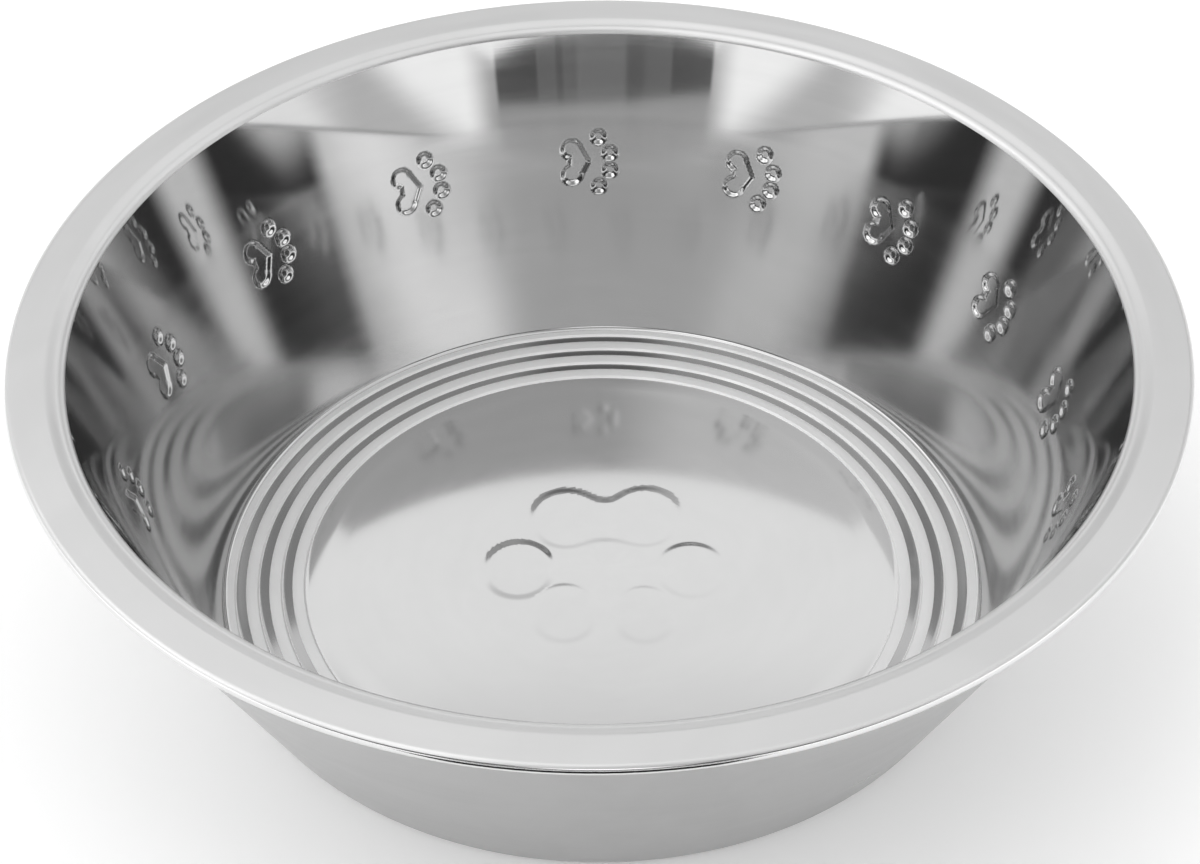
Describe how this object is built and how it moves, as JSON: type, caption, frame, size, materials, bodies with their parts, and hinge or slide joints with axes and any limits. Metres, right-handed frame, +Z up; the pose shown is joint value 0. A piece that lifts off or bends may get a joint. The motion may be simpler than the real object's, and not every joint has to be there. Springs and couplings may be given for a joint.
{
  "type": "dog bowl",
  "caption": "Wide round double-walled steel pet bowl with a flat flange, a rolled rim, sloping sides, floor rings and pressed paw shapes.",
  "frame": {"origin": "centre of the flat base, on the surface that the bowl stands on", "axes": "+Z up along the bowl's axis, +Y to the back, +X to the right; the large paw's toes point to the front, along -Y"},
  "size_m": [0.236, 0.236, 0.0688],
  "materials": {
    "polished_steel": "bright polished stainless inside with faint spin lines, satin on the flange and on the floor rings",
    "satin_steel": "satin stainless with fine lines round the wall"
  },
  "bodies": {
    "root": {"inner_bowl": "polished_steel", "outer_shell": "satin_steel"}
  },
  "joints": []
}
